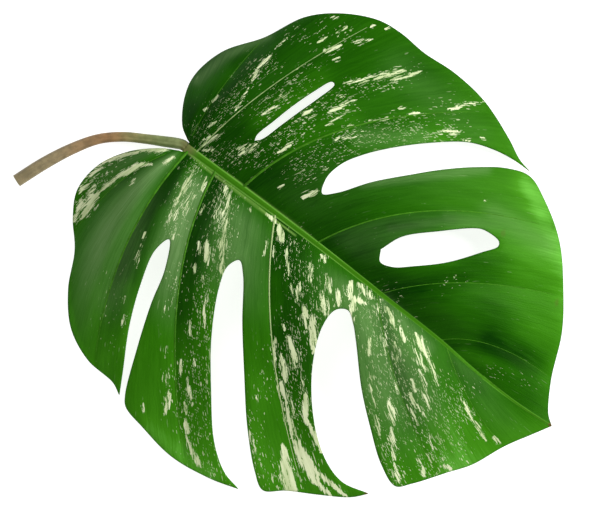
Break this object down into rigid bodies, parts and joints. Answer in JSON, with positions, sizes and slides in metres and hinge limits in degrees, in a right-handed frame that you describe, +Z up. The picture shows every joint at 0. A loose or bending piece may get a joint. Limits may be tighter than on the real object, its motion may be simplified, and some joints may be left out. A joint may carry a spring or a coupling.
{
  "type": "monstera leaf",
  "caption": "Picked monstera leaf, variegated green and cream, with deep splits, inner holes, a raised midrib and a short curved petiole; lies face up as plant dressing.",
  "frame": {"origin": "on the ground, under the middle of the leaf's box", "axes": "+X along the midrib towards the tip, +Y to the half whose splits end in one finger and a window, +Z up from the upper face"},
  "size_m": [0.3496, 0.2876, 0.0285],
  "materials": {
    "blade": "satin green leaf with cream streaks",
    "petiole": "semi-matte olive stalk"
  },
  "bodies": {
    "root": {"leaf_blade": "blade", "petiole": "petiole"}
  },
  "joints": []
}
